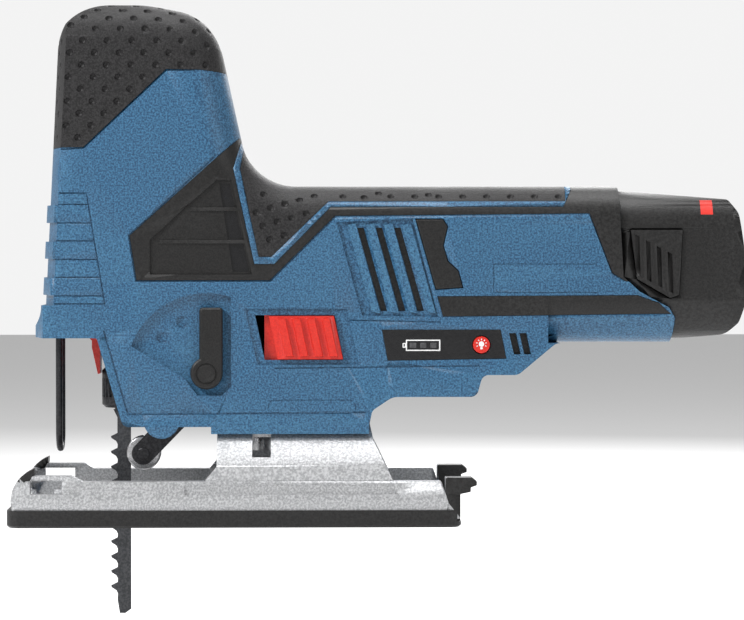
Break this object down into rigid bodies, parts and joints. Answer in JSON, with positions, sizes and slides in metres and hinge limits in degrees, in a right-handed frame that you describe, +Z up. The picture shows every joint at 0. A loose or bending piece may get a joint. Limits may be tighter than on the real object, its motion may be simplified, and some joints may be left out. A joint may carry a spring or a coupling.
{
  "type": "cordless barrel-grip jigsaw",
  "caption": "Cordless jigsaw with a barrel grip, tilting cast base, orbital blade guide, slide switch and plug-in battery pack.",
  "frame": {"origin": "on the sole's plane, where the blade's centre line crosses it", "axes": "+Z up, +X towards the battery at the rear, -X the cutting direction, -Y the tool's left side with the switch"},
  "size_m": [0.2706, 0.0758, 0.2262],
  "materials": {
    "housing_plastic": "fine textured moulding",
    "soft_grip": "matt soft elastomer",
    "black_plastic": "fine textured moulding",
    "red_plastic": "satin",
    "cast_aluminium": "bead-blasted die casting",
    "bright_steel": "ground",
    "dark_steel": "black oxide",
    "bronze": "sintered",
    "clear_plastic": "clear",
    "circuit_board": "solder mask",
    "cell_sleeve": "shrink sleeve"
  },
  "bodies": {
    "base": {"base_plate": "cast_aluminium", "base_plate_screws": "bright_steel", "glide_shoe": "black_plastic", "tilt_bracket": "cast_aluminium"},
    "housing": {"left_housing_shell": "housing_plastic", "right_housing_shell": "housing_plastic", "left_knob_grip": "soft_grip", "right_knob_grip": "soft_grip", "left_barrel_grip": "soft_grip", "right_barrel_grip": "soft_grip", "left_vent_panel": "black_plastic", "right_vent_panel": "black_plastic", "left_side_pad": "black_plastic", "right_side_pad": "black_plastic", "left_side_strip": "black_plastic", "right_side_strip": "black_plastic", "display_panel": "black_plastic", "housing_screws": "bright_steel", "drive_frame": "cast_aluminium", "lower_plunger_bush": "bronze", "upper_plunger_bush": "bronze", "gear_axle": "bright_steel", "motor_can": "bright_steel", "motor_magnets": "dark_steel", "motor_end_bell": "black_plastic", "front_bearing": "bright_steel", "rear_bearing": "bright_steel", "fork_pivot_pin": "bright_steel", "release_lever_pin": "bright_steel", "finger_guard": "dark_steel", "worklight": "clear_plastic", "switch_module": "black_plastic", "control_board": "circuit_board", "battery_contact_block": "black_plastic", "tilt_clamp_screw": "bright_steel", "tilt_clamp_washer": "bright_steel", "tilt_clamp_nut": "bright_steel"},
    "plunger": {"plunger_rod": "bright_steel", "yoke": "bright_steel", "blade_clamp": "dark_steel", "saw_blade": "dark_steel"},
    "crank": {"crank_gear": "bright_steel"},
    "rotor": {"armature": "dark_steel", "motor_shaft": "bright_steel", "motor_pinion": "bright_steel", "cooling_fan": "black_plastic"},
    "pendulum": {"pendulum_fork": "dark_steel", "roller_pin": "dark_steel"},
    "roller": {"guide_roller": "dark_steel"},
    "orbit_control": {"orbit_lever": "black_plastic", "orbit_shaft": "bright_steel"},
    "switch": {"switch_slider": "red_plastic"},
    "blade_release": {"blade_release_lever": "red_plastic"},
    "battery": {"battery_case": "black_plastic", "battery_end_cap": "black_plastic", "battery_cells": "cell_sleeve"},
    "battery_catch_left": {"battery_button_left": "black_plastic"},
    "battery_catch_right": {"battery_button_right": "black_plastic"},
    "lamp_key": {"lamp_button": "red_plastic"}
  },
  "joints": [
    {"name": "base_tilt", "type": "hinge", "parent": "base", "child": "housing", "pos_m": [0, 0, 0], "axis": [1, 0, 0], "range_deg": [-45, 45]},
    {"name": "plunger_stroke", "type": "slide", "parent": "housing", "child": "plunger", "axis": [0, 0, 1], "range_m": [-0.009, 0.009]},
    {"name": "crank_gear_spin", "type": "hinge", "parent": "housing", "child": "crank", "pos_m": [0.0165, 0, 0.1187], "axis": [1, 0, 0], "continuous": true},
    {"name": "rotor_spin", "type": "hinge", "parent": "housing", "child": "rotor", "pos_m": [0.05, 0, 0.0955], "axis": [1, 0, 0], "continuous": true},
    {"name": "pendulum_swing", "type": "hinge", "parent": "housing", "child": "pendulum", "pos_m": [0.027, 0, 0.044], "axis": [0, 1, 0], "range_deg": [-3, 0]},
    {"name": "guide_roller_spin", "type": "hinge", "parent": "pendulum", "child": "roller", "pos_m": [0.0086, 0, 0.025], "axis": [0, 1, 0], "continuous": true},
    {"name": "orbit_lever_turn", "type": "hinge", "parent": "housing", "child": "orbit_control", "pos_m": [0.0329, -0.026, 0.0558], "axis": [0, -1, 0], "range_deg": [0, 51]},
    {"name": "switch_slide", "type": "slide", "parent": "housing", "child": "switch", "axis": [-1, 0, 0], "range_m": [0, 0.0045]},
    {"name": "blade_release_swing", "type": "hinge", "parent": "housing", "child": "blade_release", "pos_m": [-0.0125, 0, 0.076], "axis": [0, 1, 0], "range_deg": [0, 30], "stiffness_Nm_per_rad": 0.03},
    {"name": "battery_slide", "type": "slide", "parent": "housing", "child": "battery", "axis": [1, 0, 0], "range_m": [0, 0.09]},
    {"name": "battery_button_left_press", "type": "slide", "parent": "battery", "child": "battery_catch_left", "axis": [0, 1, 0], "range_m": [0, 0.0018], "stiffness_N_per_m": 600},
    {"name": "battery_button_right_press", "type": "slide", "parent": "battery", "child": "battery_catch_right", "axis": [0, -1, 0], "range_m": [0, 0.0018], "stiffness_N_per_m": 600},
    {"name": "lamp_button_press", "type": "slide", "parent": "housing", "child": "lamp_key", "axis": [0, 1, 0], "range_m": [0, 0.0005], "stiffness_N_per_m": 600}
  ],
  "couplings": [
    {"joint": "rotor_spin", "follows": "crank_gear_spin", "ratio": -6.25}
  ]
}
